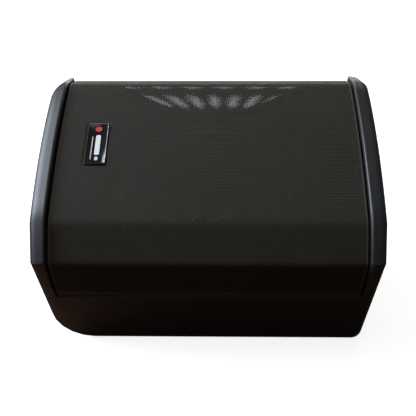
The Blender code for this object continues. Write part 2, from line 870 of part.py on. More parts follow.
def stand_on_origin():
    bpy.context.view_layer.update()
    graph = bpy.context.evaluated_depsgraph_get()
    low = Vector((1, 1, 1))
    high = Vector((-1, -1, -1))
    for shown in bpy.data.objects:
        if shown.type != "MESH" or shown.hide_render:
            continue
        solid = shown.evaluated_get(graph)
        for vertex in solid.data.vertices:
            point = solid.matrix_world @ vertex.co
            low = Vector(map(min, low, point))
            high = Vector(map(max, high, point))
    middle = (low + high) / 2
    cabinet.location = (-middle.x, -middle.y, -low.z)


stand_on_origin()
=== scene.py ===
import json
import math

import bpy
import numpy as np
from mathutils import Matrix, Vector

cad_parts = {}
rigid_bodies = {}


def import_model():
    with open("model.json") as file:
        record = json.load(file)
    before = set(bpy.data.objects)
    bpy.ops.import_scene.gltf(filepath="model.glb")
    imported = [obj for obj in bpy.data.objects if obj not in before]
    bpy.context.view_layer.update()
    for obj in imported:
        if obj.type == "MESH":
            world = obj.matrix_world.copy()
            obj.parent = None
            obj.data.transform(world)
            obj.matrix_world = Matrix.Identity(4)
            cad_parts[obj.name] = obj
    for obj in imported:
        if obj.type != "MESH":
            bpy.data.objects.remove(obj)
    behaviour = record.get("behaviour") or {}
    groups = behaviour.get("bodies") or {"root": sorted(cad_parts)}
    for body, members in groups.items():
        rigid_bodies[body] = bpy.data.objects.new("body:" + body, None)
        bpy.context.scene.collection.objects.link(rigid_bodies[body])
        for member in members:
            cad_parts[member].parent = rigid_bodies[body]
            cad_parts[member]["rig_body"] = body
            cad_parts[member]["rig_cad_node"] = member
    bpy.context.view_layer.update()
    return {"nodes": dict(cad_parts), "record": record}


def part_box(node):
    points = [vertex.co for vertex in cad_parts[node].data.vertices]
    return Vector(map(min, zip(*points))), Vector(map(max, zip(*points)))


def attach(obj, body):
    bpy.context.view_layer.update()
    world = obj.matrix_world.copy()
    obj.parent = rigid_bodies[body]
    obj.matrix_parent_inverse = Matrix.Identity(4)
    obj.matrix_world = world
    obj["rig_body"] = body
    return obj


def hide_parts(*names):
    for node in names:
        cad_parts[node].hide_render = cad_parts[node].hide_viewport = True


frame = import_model()

# Studio: a plain pale floor, soft window light from the left, a bright wall behind it, and the
# camera, which stands about 1.2 m in front of the wedge, looking 25 degrees down at it.
LENS_MM = 69.0
CAMERA_PLACE = (0.0242, -1.2121, 0.7623)
CAMERA_TURN = (64.94, 1.24, -0.37)
FLOOR_SIZE = 14
FLOOR_SEEN = (0.50, 0.50, 0.49, 1)
FLOOR_BOUNCED = (0.10, 0.050, 0.032, 1)
FLOOR_GLOW = 0.84
WORLD_SEEN = ((1, 1, 1, 1), 1.0)  # colour and strength
WORLD_BOUNCED = ((0.96, 0.98, 1.0, 1), 0.13)
LAMPS = {
    # name: (place, size, watts, colour)
    "window_lamp": ((-2.15, 0.25, 1.75), 2.2, 164, (0.80, 0.88, 1.0)),
    "back_lamp": ((0.0, 2.8, 1.0), 2.0, 32, (1.0, 0.98, 0.93)),
    "front_lamp": ((-0.3, -1.3, 2.4), 1.4, 10, (1.0, 0.97, 0.88)),
    "ceiling_lamp": ((0.9, 0.1, 2.5), 1.6, 2, (1.0, 0.97, 0.90)),
}

scene = bpy.context.scene
scene.view_settings.view_transform = "Standard"
bpy.ops.object.select_all(action="DESELECT")
bpy.ops.object.camera_add()
camera = bpy.context.object
tilt, swing, roll = (math.radians(turn) for turn in CAMERA_TURN)
camera.matrix_world = (
    Matrix.Translation(CAMERA_PLACE)
    @ Matrix.Rotation(swing, 4, "Z")
    @ Matrix.Rotation(tilt, 4, "X")
    @ Matrix.Rotation(roll, 4, "Z")
)
camera.data.lens = LENS_MM
camera.data.sensor_width = 36
scene.camera = camera

middle = Vector((0, 0, 0.2))
for name, (place, size, watts, colour) in LAMPS.items():
    bpy.ops.object.light_add(type="AREA", location=place)
    lamp = bpy.context.object
    lamp.name = name
    lamp.rotation_euler = (middle - Vector(place)).to_track_quat("-Z", "Y").to_euler()
    lamp.data.size = size
    lamp.data.energy = watts
    lamp.data.color = colour


def seen_and_bounced(tree, seen, bounced, out):
    """What the camera meets directly, and what the rest of the light meets."""
    path = tree.nodes.new("ShaderNodeLightPath")
    choice = tree.nodes.new("ShaderNodeMixShader")
    tree.links.new(path.outputs["Is Camera Ray"], choice.inputs["Fac"])
    tree.links.new(bounced, choice.inputs[1])
    tree.links.new(seen, choice.inputs[2])
    tree.links.new(choice.outputs["Shader"], out)


world = bpy.data.worlds.new("studio")
scene.world = world
world.use_nodes = True
tree = world.node_tree
tree.nodes.clear()
backgrounds = []
for colour, strength in (WORLD_SEEN, WORLD_BOUNCED):
    background = tree.nodes.new("ShaderNodeBackground")
    background.inputs["Color"].default_value = colour
    background.inputs["Strength"].default_value = strength
    backgrounds.append(background.outputs["Background"])
world_out = tree.nodes.new("ShaderNodeOutputWorld")
seen_and_bounced(tree, *backgrounds, world_out.inputs["Surface"])

bpy.ops.mesh.primitive_plane_add(size=FLOOR_SIZE)
floor = bpy.context.object
floor.name = "studio_floor"
pale = bpy.data.materials.new("pale_floor")
pale.use_nodes = True
tree = pale.node_tree
tree.nodes.clear()
shaders = []
for colour in (FLOOR_SEEN, FLOOR_BOUNCED):
    matt = tree.nodes.new("ShaderNodeBsdfDiffuse")
    matt.inputs["Color"].default_value = colour
    shaders.append(matt.outputs["BSDF"])
glow = tree.nodes.new("ShaderNodeEmission")
glow.inputs["Color"].default_value = (1, 1, 1, 1)
glow.inputs["Strength"].default_value = FLOOR_GLOW
lifted = tree.nodes.new("ShaderNodeAddShader")
tree.links.new(shaders[0], lifted.inputs[0])
tree.links.new(glow.outputs["Emission"], lifted.inputs[1])
floor_out = tree.nodes.new("ShaderNodeOutputMaterial")
seen_and_bounced(tree, lifted.outputs["Shader"], shaders[1], floor_out.inputs["Surface"])
floor.data.materials.append(pale)


# Cabinet shell: one tub moulded in black polypropylene with a fine spark grain, its two end rims
# standing proud of the grille. It is finished from the solid model with softened edges.
def link(tree, start, end):
    tree.links.new(start, end)


def moulded(name, dark, light, roughness, grain, depth, patch=9.0, metallic=0.0, specular=0.5):
    """A finish with a fine surface grain, slow colour change and patchy handling shine."""
    made = bpy.data.materials.new(name)
    made.use_nodes = True
    tree = made.node_tree
    shader = tree.nodes["Principled BSDF"]
    shader.inputs["Metallic"].default_value = metallic
    shader.inputs["Specular IOR Level"].default_value = specular
    places = tree.nodes.new("ShaderNodeTexCoord").outputs["Object"]
    broad = tree.nodes.new("ShaderNodeTexNoise")
    broad.inputs["Scale"].default_value = patch
    broad.inputs["Detail"].default_value = 6
    fine = tree.nodes.new("ShaderNodeTexNoise")
    fine.inputs["Scale"].default_value = grain
    fine.inputs["Detail"].default_value = 3
    colour = tree.nodes.new("ShaderNodeMix")
    colour.data_type = "RGBA"
    colour.inputs["A"].default_value = (*dark, 1)
    colour.inputs["B"].default_value = (*light, 1)
    shine = tree.nodes.new("ShaderNodeMapRange")
    shine.inputs["From Min"].default_value = 0.3
    shine.inputs["From Max"].default_value = 0.7
    shine.inputs["To Min"].default_value = roughness[0]
    shine.inputs["To Max"].default_value = roughness[1]
    bump = tree.nodes.new("ShaderNodeBump")
    bump.inputs["Strength"].default_value = 0.5
    bump.inputs["Distance"].default_value = depth
    for noise in (broad, fine):
        link(tree, places, noise.inputs["Vector"])
    link(tree, broad.outputs["Fac"], colour.inputs["Factor"])
    link(tree, colour.outputs["Result"], shader.inputs["Base Color"])
    link(tree, broad.outputs["Fac"], shine.inputs["Value"])
    link(tree, shine.outputs["Result"], shader.inputs["Roughness"])
    link(tree, fine.outputs["Fac"], bump.inputs["Height"])
    link(tree, bump.outputs["Normal"], shader.inputs["Normal"])
    return made


def only(piece):
    """Selects one object and nothing else."""
    if bpy.context.mode != "OBJECT":
        bpy.ops.object.mode_set(mode="OBJECT")
    bpy.ops.object.select_all(action="DESELECT")
    piece.select_set(True)
    bpy.context.view_layer.objects.active = piece


def apply_all(piece):
    only(piece)
    for modifier in list(piece.modifiers):
        bpy.ops.object.modifier_apply(modifier=modifier.name)


def coated(piece, material):
    piece.data.materials.clear()
    piece.data.materials.append(material)


def refined(node, name, material, edge=0.0006, turns=2, sharp=30, least=28, first=None):
    """A copy of a solid with its edges rounded over, standing for it."""
    source = frame["nodes"][node]
    piece = source.copy()
    piece.data = source.data.copy()
    piece.name = name
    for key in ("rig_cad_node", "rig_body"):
        if key in piece:
            del piece[key]
    scene.collection.objects.link(piece)
    piece.parent = None
    only(piece)
    bpy.ops.object.mode_set(mode="EDIT")
    bpy.ops.mesh.select_all(action="SELECT")
    bpy.ops.mesh.remove_doubles(threshold=1e-6)
    bpy.ops.mesh.dissolve_limited(angle_limit=math.radians(0.6))
    bpy.ops.object.mode_set(mode="OBJECT")
    if first:
        first(piece)
    if edge:
        bevel = piece.modifiers.new("round_edges", "BEVEL")
        bevel.width = edge
        bevel.segments = turns
        bevel.limit_method = "ANGLE"
        bevel.angle_limit = math.radians(least)
        apply_all(piece)
    bpy.ops.object.shade_smooth_by_angle(angle=math.radians(sharp))
    evened = piece.modifiers.new("even_normals", "WEIGHTED_NORMAL")
    evened.keep_sharp = True
    apply_all(piece)
    coated(piece, material)
    bodies = frame["record"]["behaviour"]["bodies"]
    body = next(key for key, members in bodies.items() if node in members)
    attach(piece, body)
    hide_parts(node)
    return piece


def choose_edges(piece, test):
    """Selects, in edit mode, the edges whose two ends pass a test."""
    only(piece)
    bpy.context.tool_settings.mesh_select_mode = (False, True, False)
    bpy.ops.object.mode_set(mode="EDIT")
    bpy.ops.mesh.select_all(action="DESELECT")
    bpy.ops.object.mode_set(mode="OBJECT")
    corners = piece.data.vertices
    for edge in piece.data.edges:
        ends = [corners[index].co for index in edge.vertices]
        edge.select = bool(test(*ends))
    bpy.ops.object.mode_set(mode="EDIT")


LEAN = math.radians(28.5)  # of the front over the floor
RETURN = 0.0896
RIM_INSIDE = 0.2358
RIM_ROLL = 0.0045
grille_low, grille_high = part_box("grille")
middle_x = (grille_low.x + grille_high.x) / 2
nose = Vector((middle_x, grille_low.y, grille_low.z + RETURN * math.cos(LEAN)))
cabinet_axes = Matrix.Translation(nose) @ Matrix.Rotation(LEAN, 4, "X")


def roll_rims(shell):
    """Rounds over the inner edge of each end rim, all the way round the front."""
    into = cabinet_axes.inverted()

    def on_rim(a, b):
        ends = [into @ a, into @ b]
        beside = all(abs(abs(end.x) - RIM_INSIDE) < 0.0004 for end in ends)
        return beside and max(end.z for end in ends) > -0.04

    choose_edges(shell, on_rim)
    bpy.ops.mesh.bevel(offset=RIM_ROLL, segments=6, affect="EDGES", clamp_overlap=False)
    bpy.ops.object.mode_set(mode="OBJECT")


moulding = moulded(
    "black_moulding", (0.014, 0.0145, 0.016), (0.020, 0.0205, 0.022),
    (0.38, 0.48), 1400, 0.00012,
)
refined(
    "cabinet_shell", "moulded_shell", moulding,
    edge=0.0016, turns=3, sharp=32, least=33, first=roll_rims,
)


# Grille: one sheet of 1.2 mm steel with round holes 3 mm apart in staggered rows, folded round the
# front and powder coated black. It is punched flat, pressed down for the badge, then folded.
HOLE_PITCH = 0.003
ROW_PITCH = HOLE_PITCH * math.sqrt(3) / 2
COLUMNS = 154
HOLE_INSET = 0.00046  # from a cell's side to its hole
SHEET = 0.0012
PLAIN_EDGE = 0.0125
SIDE_LAP = 0.0012  # how far the punched cells run out over the plain strips
END_LAP = 0.0004
STRIP_DROP = 0.00004
FRONT = 0.378
NEAR_CHAMFER = (0.0495, 0.0366)
FAR_CHAMFER = (0.0455, 0.0366)
ARCH_RISE = 0.0123
FOLD_REACH = 0.009
BADGE_PLATE = (0.033, 0.083, 0.0016)
BADGE_PLACE = (-0.1735, 0.1907)
PRESS_MARGIN = 0.0016  # flat bottom of the recess round the badge
PRESS_DEPTH = 0.0009
PRESS_EDGE = 0.0022
ASIDE = 0.0004  # either way along the sheet, to find its direction
WELD = 0.00002

grille_half = (grille_high.x - grille_low.x) / 2
half_arch = (FRONT - NEAR_CHAMFER[0] - FAR_CHAMFER[0]) / 2
arch_middle = NEAR_CHAMFER[0] + half_arch
arch_radius = (half_arch**2 + ARCH_RISE**2) / (2 * ARCH_RISE)
arch_reach = math.asin(half_arch / arch_radius)
chamfer_lengths = (math.hypot(*NEAR_CHAMFER), math.hypot(*FAR_CHAMFER))
arch_length = 2 * arch_reach * arch_radius
fold_marks = np.cumsum([0, RETURN, chamfer_lengths[0], arch_length, chamfer_lengths[1], RETURN])
sheet_length = fold_marks[-1]
badge_turn = math.asin((BADGE_PLACE[1] - arch_middle) / arch_radius)
badge_distance = (fold_marks[2] + fold_marks[3]) / 2 + badge_turn * arch_radius


def along_straights(s):
    """Place (y, z) at each distance along the folded sheet, with sharp folds."""
    s = np.asarray(s, float)
    turn = (s - (fold_marks[2] + fold_marks[3]) / 2) / arch_radius
    turn = np.clip(turn, -arch_reach, arch_reach)
    y = arch_middle + arch_radius * np.sin(turn)
    z = NEAR_CHAMFER[1] + arch_radius * (np.cos(turn) - math.cos(arch_reach))
    for mark, sign, chamfer, length in (
        (fold_marks[2], -1, NEAR_CHAMFER, chamfer_lengths[0]),
        (fold_marks[3], 1, FAR_CHAMFER, chamfer_lengths[1]),
    ):
        past = np.clip(sign * (s - mark), 0, length)
        y = y + sign * past * chamfer[0] / length
        z = z - past * chamfer[1] / length
    z = z - np.clip(fold_marks[1] - s, 0, None) - np.clip(s - fold_marks[4], 0, None)
    return y, z


def along_sheet(s):
    """The same with each fold rounded: the mean of the places a little before and after it."""
    s = np.asarray(s, float)
    steps = np.linspace(-FOLD_REACH, FOLD_REACH, 9)
    weights = np.cos(steps / FOLD_REACH * math.pi / 2) + 0.05
    weights = weights / weights.sum()
    y, z = np.zeros_like(s), np.zeros_like(s)
    for step, weight in zip(steps, weights):
        part_y, part_z = along_straights(s + step)
        y = y + weight * part_y
        z = z + weight * part_z
    return y, z


def fold(piece, drop=0.0):
    """Moves a flat sheet, drawn in x and y, onto the folded front."""
    mesh = piece.data
    places = np.empty(len(mesh.vertices) * 3)
    mesh.vertices.foreach_get("co", places)
    places = places.reshape(-1, 3)
    x, s = places[:, 0], np.clip(places[:, 1], 0, sheet_length)
    reach_x = np.abs(x - BADGE_PLACE[0]) - (BADGE_PLATE[0] / 2 + PRESS_MARGIN)
    reach_s = np.abs(s - badge_distance) - (BADGE_PLATE[1] / 2 + PRESS_MARGIN)
    outside = np.maximum(reach_x, reach_s)
    pressed = PRESS_DEPTH * np.clip(1 - outside / PRESS_EDGE, 0, 1)
    y, z = along_sheet(s)
    y_ahead, z_ahead = along_sheet(s + ASIDE)
    y_behind, z_behind = along_sheet(s - ASIDE)
    way_y, way_z = y_ahead - y_behind, z_ahead - z_behind
    length = np.hypot(way_y, way_z)
    down = drop + pressed - places[:, 2]
    folded = np.stack([x, y + way_z / length * down, z - way_y / length * down], 1)
    mesh.vertices.foreach_set("co", folded.ravel())
    mesh.transform(cabinet_axes)
    mesh.update()


grille_paint = moulded(
    "grille_powder_coat", (0.048, 0.043, 0.035), (0.058, 0.052, 0.042),
    (0.54, 0.66), 2600, 0.00008, patch=14, specular=0.14,
)
# Near-black finish for the hole walls and the back face of the sheet: painted shade that darkens
# the holes and the inside of the grille. The steel there really carries the same powder coat as
# the front.
painted_hole_shade = moulded(
    "grille_painted_hole_shade", (0.004, 0.004, 0.004), (0.007, 0.007, 0.006),
    (0.6, 0.75), 2600, 0.00002, patch=30, specular=0.15,
)


def punched_panel(number, first_row, rows):
    """A band of the sheet: one hexagonal cell with its hole, repeated along and across."""
    bpy.ops.object.select_all(action="DESELECT")
    corner = HOLE_PITCH / math.sqrt(3)
    bpy.ops.mesh.primitive_circle_add(vertices=6, radius=corner, fill_type="NGON")
    panel = bpy.context.object
    panel.name = f"perforated_panel_{number}"
    bpy.ops.object.mode_set(mode="EDIT")
    bpy.ops.mesh.select_all(action="SELECT")
    bpy.ops.mesh.inset(thickness=HOLE_INSET)
    bpy.ops.mesh.delete(type="FACE")
    bpy.ops.object.mode_set(mode="OBJECT")
    start_x = (0.25 - COLUMNS / 2) * HOLE_PITCH
    start_s = PLAIN_EDGE + (first_row + 0.5) * ROW_PITCH
    panel.data.transform(Matrix.Translation((start_x, start_s, 0)))
    panel.location = (0, 0, 0)
    for count, step in (
        (2, (HOLE_PITCH / 2, ROW_PITCH, 0)),
        (COLUMNS, (HOLE_PITCH, 0, 0)),
        (rows // 2, (0, 2 * ROW_PITCH, 0)),
    ):
        repeat = panel.modifiers.new("repeat", "ARRAY")
        repeat.count = count
        repeat.use_relative_offset = False
        repeat.use_constant_offset = True
        repeat.constant_offset_displace = step
        repeat.use_merge_vertices = True
        repeat.merge_threshold = WELD
    apply_all(panel)
    fold(panel)
    coated(panel, grille_paint)
    panel.data.materials.append(painted_hole_shade)
    wall = panel.modifiers.new("sheet", "SOLIDIFY")
    wall.thickness = SHEET
    wall.offset = -1
    # The back face and the hole walls take the second slot, the painted shade, instead of the
    # powder coat.
    wall.material_offset = 1
    wall.material_offset_rim = 1
    apply_all(panel)
    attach(panel, "cabinet")
    return panel


def plain_strip(name, low_x, high_x, low_s, high_s):
    """A solid stretch of the sheet, a hair lower than the punched cells that run out over it."""
    bpy.ops.object.select_all(action="DESELECT")
    bpy.ops.mesh.primitive_plane_add(size=1)
    strip = bpy.context.object
    strip.name = name
    size = (high_x - low_x, high_s - low_s)
    strip.data.transform(Matrix.Diagonal((*size, 1, 1)))
    strip.data.transform(Matrix.Translation(((low_x + high_x) / 2, (low_s + high_s) / 2, 0)))
    bpy.ops.object.mode_set(mode="EDIT")
    bpy.ops.mesh.select_all(action="SELECT")
    bpy.ops.mesh.subdivide(number_cuts=max(2, int(size[1] / 0.004)) if size[1] > size[0] else 3)
    bpy.ops.object.mode_set(mode="OBJECT")
    fold(strip, STRIP_DROP)
    wall = strip.modifiers.new("sheet", "SOLIDIFY")
    wall.thickness = SHEET
    wall.offset = -1
    apply_all(strip)
    bpy.ops.object.shade_smooth_by_angle(angle=math.radians(40))
    coated(strip, grille_paint)
    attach(strip, "cabinet")
    return strip


BAND_ROWS = 28
row_count = int((sheet_length - 2 * PLAIN_EDGE) / ROW_PITCH) // 2 * 2
grille_parts = []
for number, first in enumerate(range(0, row_count, BAND_ROWS), 1):
    grille_parts.append(punched_panel(number, first, min(BAND_ROWS, row_count - first)))
side_start = COLUMNS * HOLE_PITCH / 2 - SIDE_LAP
far_start = PLAIN_EDGE + (row_count - 0.5) * ROW_PITCH
for name, low_x, high_x, low_s, high_s in (
    ("grille_edge_left", -grille_half, -side_start, 0, sheet_length),
    ("grille_edge_right", side_start, grille_half, 0, sheet_length),
    ("grille_edge_near", -side_start, side_start, 0, PLAIN_EDGE + END_LAP),
    ("grille_edge_far", -side_start, side_start, far_start, sheet_length),
):
    grille_parts.append(plain_strip(name, low_x, high_x, low_s, high_s))
for part in grille_parts:
    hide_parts("grille")



# Badge: a glossy black plate glued in the pressed recess, with a silver hairline round its face
# and a plain printed mark of one round spot and three pale bars.
MARK_THICK = 0.0003
MARK_FOOT = BADGE_PLATE[2] / 2 - 0.00012
BADGE_RIM = 0.0009
BADGE_MARKS = {
    # name: (x, y, width, length, colour)
    "badge_bar_long": (0.0020, -0.0040, 0.0075, 0.040, (0.62, 0.62, 0.60)),
    "badge_bar_short": (0.0020, -0.0312, 0.0050, 0.0072, (0.52, 0.50, 0.46)),
    "badge_bar_thin": (-0.0068, -0.0100, 0.0014, 0.046, (0.42, 0.41, 0.40)),
}


def settle(piece, axes):
    """Applies an object's place in the given axes to its mesh."""
    piece.data.transform(axes @ piece.matrix_basis)
    piece.matrix_basis = Matrix()
    piece.data.update()


def start(name, kind, **size):
    """Adds a primitive to shape, alone selected."""
    if bpy.context.mode != "OBJECT":
        bpy.ops.object.mode_set(mode="OBJECT")
    bpy.ops.object.select_all(action="DESELECT")
    getattr(bpy.ops.mesh, f"primitive_{kind}_add")(**size)
    piece = bpy.context.object
    piece.name = name
    return piece


def choose_faces(piece, test):
    """Selects, in edit mode, the faces whose middle and normal pass a test."""
    only(piece)
    bpy.context.tool_settings.mesh_select_mode = (False, False, True)
    bpy.ops.object.mode_set(mode="EDIT")
    bpy.ops.mesh.select_all(action="DESELECT")
    bpy.ops.object.mode_set(mode="OBJECT")
    for face in piece.data.polygons:
        face.select = bool(test(face.center, face.normal))
    bpy.ops.object.mode_set(mode="EDIT")


def upright(a, b):
    return abs(a.x - b.x) < 1e-6 and abs(a.y - b.y) < 1e-6


def handed_in(piece, body, slot, *nodes):
    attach(piece, body)
    if nodes:
        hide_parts(*nodes)
    return piece


badge_low, badge_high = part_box("badge_plate")
badge_axes = Matrix.Rotation(LEAN - badge_turn, 4, "X")
badge_axes = Matrix.Translation((badge_low + badge_high) / 2) @ badge_axes
lacquer = moulded(
    "badge_lacquer", (0.004, 0.004, 0.0045), (0.007, 0.007, 0.008),
    (0.06, 0.14), 300, 0.00001, patch=30,
)
hairline = moulded(
    "badge_silver", (0.20, 0.20, 0.21), (0.30, 0.30, 0.31),
    (0.25, 0.4), 900, 0.00001, patch=60, metallic=0.9,
)

badge = start("badge_face", "cube", size=1)
badge.scale = BADGE_PLATE
settle(badge, Matrix())
choose_edges(badge, upright)
bpy.ops.mesh.bevel(offset=0.0026, segments=5, affect="EDGES")
choose_faces(badge, lambda middle, normal: normal.z > 0.9)
bpy.ops.mesh.inset(thickness=BADGE_RIM)
bpy.ops.mesh.inset(thickness=0.00035)
bpy.ops.transform.translate(value=(0, 0, -0.0002))
bpy.ops.object.mode_set(mode="OBJECT")
coated(badge, lacquer)
badge.data.materials.append(hairline)
half_x, half_y = (side / 2 - BADGE_RIM for side in BADGE_PLATE[:2])


def on_hairline(middle, normal):
    beside = max(abs(middle.x) - half_x, abs(middle.y) - half_y)
    return middle.z > 0.0005 and normal.z > 0.1 and -0.00075 < beside < -0.00001


choose_faces(badge, on_hairline)
badge.active_material_index = 1
bpy.ops.object.material_slot_assign()
bpy.ops.object.mode_set(mode="OBJECT")
badge.modifiers.new("edge", "BEVEL").width = 0.00025
apply_all(badge)
bpy.ops.object.shade_smooth_by_angle(angle=math.radians(30))
settle(badge, badge_axes)
handed_in(badge, "cabinet", "gloss_black", "badge_plate")

for name, (x, y, width, length, colour) in BADGE_MARKS.items():
    bar = start(name, "cube", size=1, location=(x, y, MARK_FOOT))
    bar.scale = (width, length, MARK_THICK)
    settle(bar, Matrix())
    choose_edges(bar, upright)
    bpy.ops.mesh.bevel(offset=min(width, length) * 0.3, segments=3, affect="EDGES")
    bpy.ops.object.mode_set(mode="OBJECT")
    settle(bar, badge_axes)
    light = tuple(min(1, part * 1.15) for part in colour)
    coated(bar, moulded(name + "_ink", colour, light, (0.3, 0.42), 700, 0.00001, 80))
    handed_in(bar, "cabinet", "gloss_black")

spot = start("badge_spot", "cylinder", vertices=28, radius=0.0052, depth=MARK_THICK)
spot.location = (0.0010, 0.0285, MARK_FOOT)
choose_faces(spot, lambda middle, normal: normal.z > 0.9)
bpy.ops.mesh.inset(thickness=0.0014)
bpy.ops.transform.translate(value=(0, 0, -0.00012))
bpy.ops.object.mode_set(mode="OBJECT")
settle(spot, badge_axes)
red_ink = moulded(
    "badge_spot_ink", (0.40, 0.045, 0.03), (0.46, 0.06, 0.04),
    (0.3, 0.42), 700, 0.00001, patch=80,
)
coated(spot, red_ink)
handed_in(spot, "cabinet", "gloss_black")


# Baffle and horn: a second black moulding under the grille, dished for the loudspeaker, and the
# small round horn that stands in the middle of the woofer on the same axis.
BAFFLE_DROP = 0.001  # clearance under the softened folds of the grille
baffle_plastic = moulded(
    "baffle_plastic", (0.0022, 0.0022, 0.0022), (0.0034, 0.0034, 0.0034),
    (0.6, 0.75), 1500, 0.00005, patch=12, specular=0.12,
)
dished = refined("front_baffle", "dished_baffle", baffle_plastic, edge=0.0012, sharp=35)
dished.data.transform(Matrix.Translation(cabinet_axes.col[2].to_3d() * -BAFFLE_DROP))
refined("horn", "horn_flare", baffle_plastic, edge=0.0005, sharp=40, least=50)


def finished(material, *nodes):
    """Gives solids that keep their own shape a finer finish."""
    for node in nodes:
        for place in frame["nodes"][node].material_slots:
            place.material = material


# Woofer: a pressed steel basket, a rubber surround and gasket and a black felted paper cone, with
# the spider, blackened coil former and magnet behind. Four black zinc screws hold it on.
basket_paint = moulded(
    "basket_paint", (0.004, 0.004, 0.004), (0.007, 0.007, 0.007),
    (0.5, 0.65), 1200, 0.00006, patch=20, metallic=0.1, specular=0.25,
)
soft_rubber = moulded(
    "surround_rubber", (0.004, 0.004, 0.004), (0.007, 0.007, 0.007),
    (0.6, 0.75), 600, 0.00003, patch=18, specular=0.2,
)
cone_paper = moulded(
    "cone_paper", (0.005, 0.005, 0.005), (0.009, 0.009, 0.009),
    (0.8, 0.95), 420, 0.0002, patch=55, specular=0.2,
)
black_zinc = moulded(
    "black_zinc", (0.008, 0.008, 0.009), (0.014, 0.014, 0.014),
    (0.45, 0.6), 1500, 0.00002, patch=90, metallic=0.3,
)
bright_zinc = moulded(
    "bright_zinc", (0.42, 0.42, 0.41), (0.56, 0.56, 0.55),
    (0.28, 0.42), 1500, 0.00002, patch=70, metallic=1.0,
)
ferrite_grey = moulded(
    "ferrite_grey", (0.035, 0.035, 0.038), (0.055, 0.055, 0.06),
    (0.55, 0.7), 700, 0.00005, patch=40,
)
spider_cloth = moulded(
    "spider_cloth", (0.40, 0.27, 0.11), (0.55, 0.39, 0.18),
    (0.8, 0.95), 1800, 0.0002, patch=60,
)
refined("woofer_basket", "pressed_basket", basket_paint, edge=0.0004, sharp=30, least=50)
refined("woofer_gasket", "basket_gasket", soft_rubber, edge=0.0004, sharp=35, least=50)
refined("woofer_cone", "felted_cone", cone_paper, edge=0, sharp=35)
for number in range(1, 5):
    bolt, head = f"woofer_bolt_{number}", f"basket_screw_{number}"
    refined(bolt, head, black_zinc, edge=0.0003, sharp=35, least=40)
finished(soft_rubber, "woofer_surround")
finished(spider_cloth, "spider")
finished(basket_paint, "voice_coil_former")
finished(bright_zinc, "magnet_top_plate", "magnet_back_plate")
finished(ferrite_grey, "magnet_ring")
finished(basket_paint, "compression_driver")


# Amplifier panel: a 3 mm steel plate in fine textured black paint on the back of the cabinet, held
# by six screws, with printed scales round the controls and an extruded comb of cooling fins.
REAR_LEAN = math.radians(14.176)
PANEL_MIDDLE = 0.0019
PANEL_FACE = 0.0034
KNOB_ROW = 0.078
KNOB_PLACES = {
    "knob_input_a": -0.080,
    "knob_input_b": -0.035,
    "knob_bass": 0.010,
    "knob_treble": 0.050,
}
SCALE_RADIUS = 0.0122
SCALE_TICKS = 11
SCALE_SWEEP = math.radians(300)

panel_low, panel_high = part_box("amp_panel")
rear_turn = Matrix(
    (
        (-1, 0, 0, 0),
        (0, math.sin(REAR_LEAN), math.cos(REAR_LEAN), 0),
        (0, math.cos(REAR_LEAN), -math.sin(REAR_LEAN), 0),
        (0, 0, 0, 1),
    )
)
rear_axes = Matrix.Translation((panel_low + panel_high) / 2) @ rear_turn
rear_axes = rear_axes @ Matrix.Translation((0, 0, -PANEL_MIDDLE))
panel_paint = moulded(
    "panel_paint", (0.014, 0.014, 0.015), (0.022, 0.022, 0.023),
    (0.5, 0.62), 1600, 0.00012, patch=18, metallic=0.1,
)
anodised = moulded(
    "anodised_black", (0.012, 0.012, 0.013), (0.019, 0.019, 0.021),
    (0.3, 0.42), 2500, 0.00003, patch=25, metallic=0.6,
)
print_white = moulded(
    "print_white", (0.55, 0.55, 0.54), (0.68, 0.68, 0.66),
    (0.45, 0.55), 900, 0.00001, patch=60,
)
refined("amp_panel", "painted_panel", panel_paint, edge=0.0005, turns=2, least=50)
refined("heat_sink", "cooling_fins", anodised, edge=0.0004, turns=2, least=50)
for number in range(1, 7):
    screw, head = f"panel_screw_{number}", f"panel_screw_head_{number}"
    refined(screw, head, black_zinc, edge=0.0002, sharp=35, least=40)


def printed(name, shapes):
    """Thin raised print on the panel, each shape (x, y, width, height, turn)."""
    made = []
    for x, y, width, height, turn in shapes:
        mark = start(name, "plane", size=1)
        mark.scale = (width, height, 1)
        mark.rotation_euler = (0, 0, turn)
        mark.location = (x, y, PANEL_FACE + 0.0001)
        settle(mark, Matrix())
        made.append(mark)
    bpy.ops.object.select_all(action="DESELECT")
    for mark in made:
        mark.select_set(True)
    bpy.context.view_layer.objects.active = made[0]
    bpy.ops.object.join()
    joined = bpy.context.object
    joined.name = name
    ink = joined.modifiers.new("ink", "SOLIDIFY")
    ink.thickness = 0.00008
    ink.offset = -1
    apply_all(joined)
    settle(joined, rear_axes)
    coated(joined, print_white)
    return handed_in(joined, "cabinet", "bare_steel")


for name, middle_x in KNOB_PLACES.items():
    ticks = []
    for tick in range(SCALE_TICKS):
        turn = SCALE_SWEEP * (tick / (SCALE_TICKS - 1) - 0.5)
        length = 0.0030 if tick in (0, SCALE_TICKS // 2, SCALE_TICKS - 1) else 0.0020
        reach = SCALE_RADIUS + length / 2
        x = middle_x + reach * math.sin(turn)
        ticks.append((x, KNOB_ROW + reach * math.cos(turn), 0.0005, length, -turn))
    printed(name.replace("knob", "scale"), ticks)
printed(
    "panel_rules",
    [
        (-0.0575, 0.0480, 0.072, 0.0006, 0),
        (0.0300, 0.0480, 0.062, 0.0006, 0),
        (-0.0575, 0.0078, 0.072, 0.0006, 0),
        (-0.0930, 0.0279, 0.0006, 0.0408, 0),
        (-0.0220, 0.0279, 0.0006, 0.0408, 0),
    ],
)


# Knobs: four soft-touch grey knobs with a grip of 20 shallow flutes, a domed cap and a white
# pointer line let into the top. Each pushes on to the shaft of its own potentiometer.
KNOB_FOOT = PANEL_FACE + 0.0008
KNOB_HEIGHT = 0.0142
KNOB_RADIUS = 0.0086
FLUTES = 20
knob_skin = moulded(
    "knob_skin", (0.045, 0.045, 0.048), (0.065, 0.065, 0.068),
    (0.5, 0.62), 1400, 0.00004, patch=60,
)

